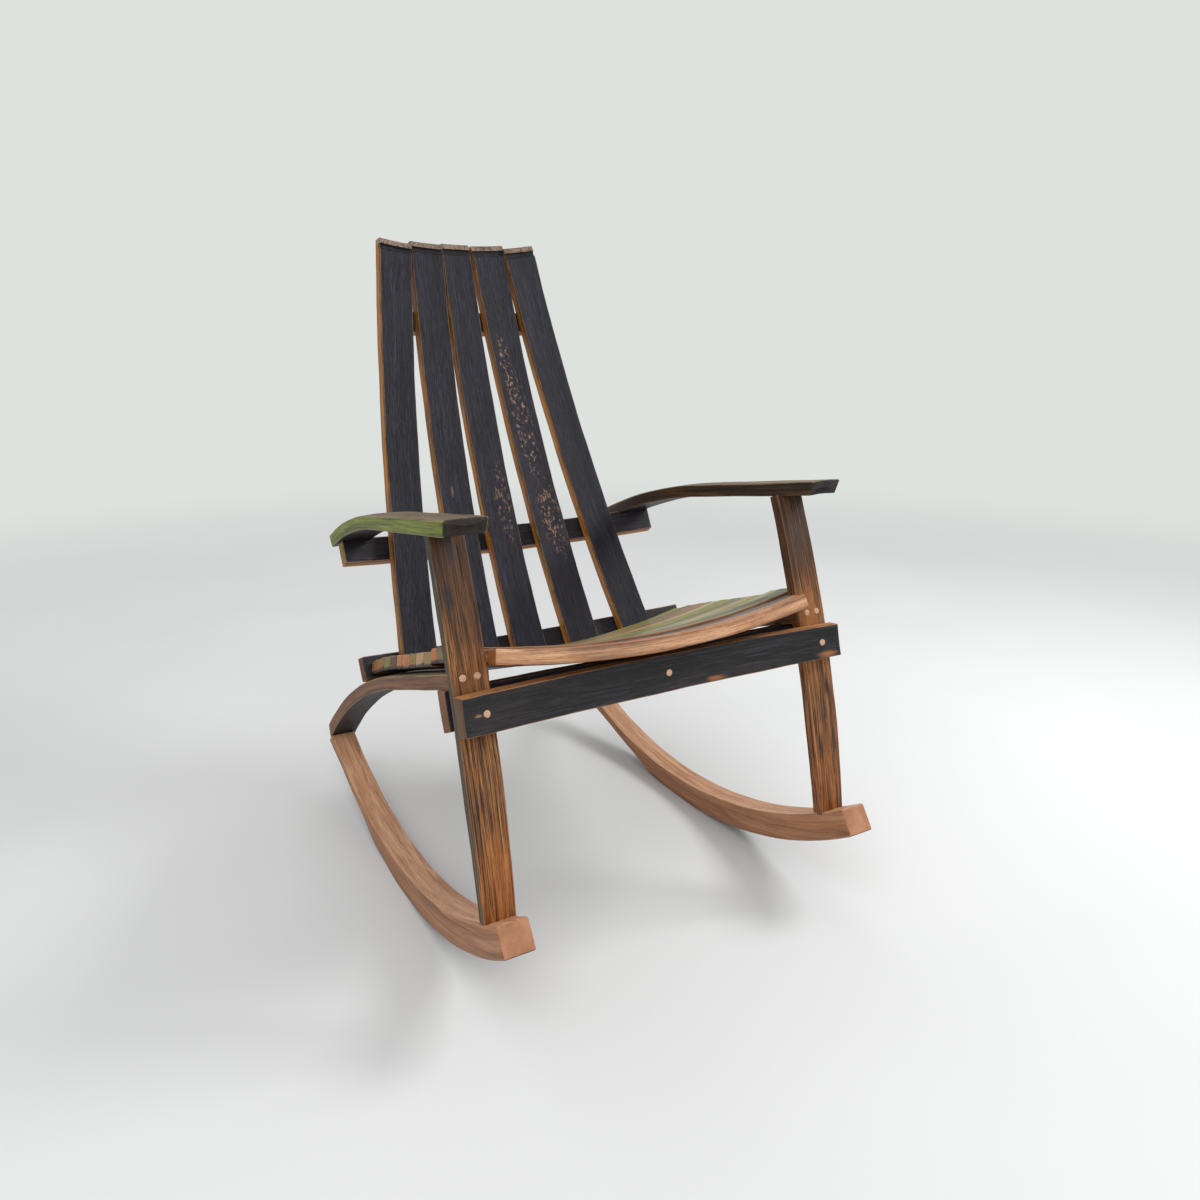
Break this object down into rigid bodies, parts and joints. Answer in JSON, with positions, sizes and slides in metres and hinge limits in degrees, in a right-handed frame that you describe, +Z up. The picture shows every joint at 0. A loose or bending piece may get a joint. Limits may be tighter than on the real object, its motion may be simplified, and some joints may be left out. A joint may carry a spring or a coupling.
{
  "type": "rocking chair",
  "caption": "Rocking chair made of old oak barrel staves, with a strip seat that dips in the middle and a back of staves that fans out.",
  "frame": {"origin": "the point on the floor midway between the two rockers, where they touch it at rest", "axes": "+Z up, the chair faces -Y, +X toward the sitter's left"},
  "size_m": [0.617, 0.8165, 1.0004],
  "materials": {
    "charred_oak": "toasted black on the hollow face, satin",
    "weathered_oak": "weathered amber oak with black streaks, oiled",
    "seat_oak": "mottled pale oak with grey and green stains, satin",
    "rocker_oak": "sawn oak, pale on top and dark at the sides",
    "plug_oak": "fresh end grain, sanded flush"
  },
  "bodies": {
    "root": {"rocker_right": "rocker_oak", "rocker_left": "rocker_oak", "leg_right": "weathered_oak", "leg_left": "weathered_oak", "side_rail_right": "weathered_oak", "side_rail_left": "weathered_oak", "arm_right": "weathered_oak", "arm_left": "weathered_oak", "arm_cross_rail": "charred_oak", "lower_cross_rail": "charred_oak", "back_stave_1": "charred_oak", "back_stave_2": "charred_oak", "back_stave_3": "charred_oak", "back_stave_4": "charred_oak", "back_stave_5": "charred_oak", "top_batten": "charred_oak", "front_apron": "charred_oak", "rear_apron": "charred_oak", "apron_spacer": "weathered_oak", "seat_strip_01": "seat_oak", "seat_strip_02": "seat_oak", "seat_strip_03": "seat_oak", "seat_strip_04": "seat_oak", "seat_strip_05": "seat_oak", "seat_strip_06": "seat_oak", "seat_strip_07": "seat_oak", "seat_strip_08": "seat_oak", "seat_strip_09": "seat_oak", "seat_strip_10": "seat_oak", "seat_strip_11": "seat_oak", "seat_strip_12": "seat_oak", "leg_plugs": "plug_oak", "apron_plugs": "plug_oak"}
  },
  "joints": []
}
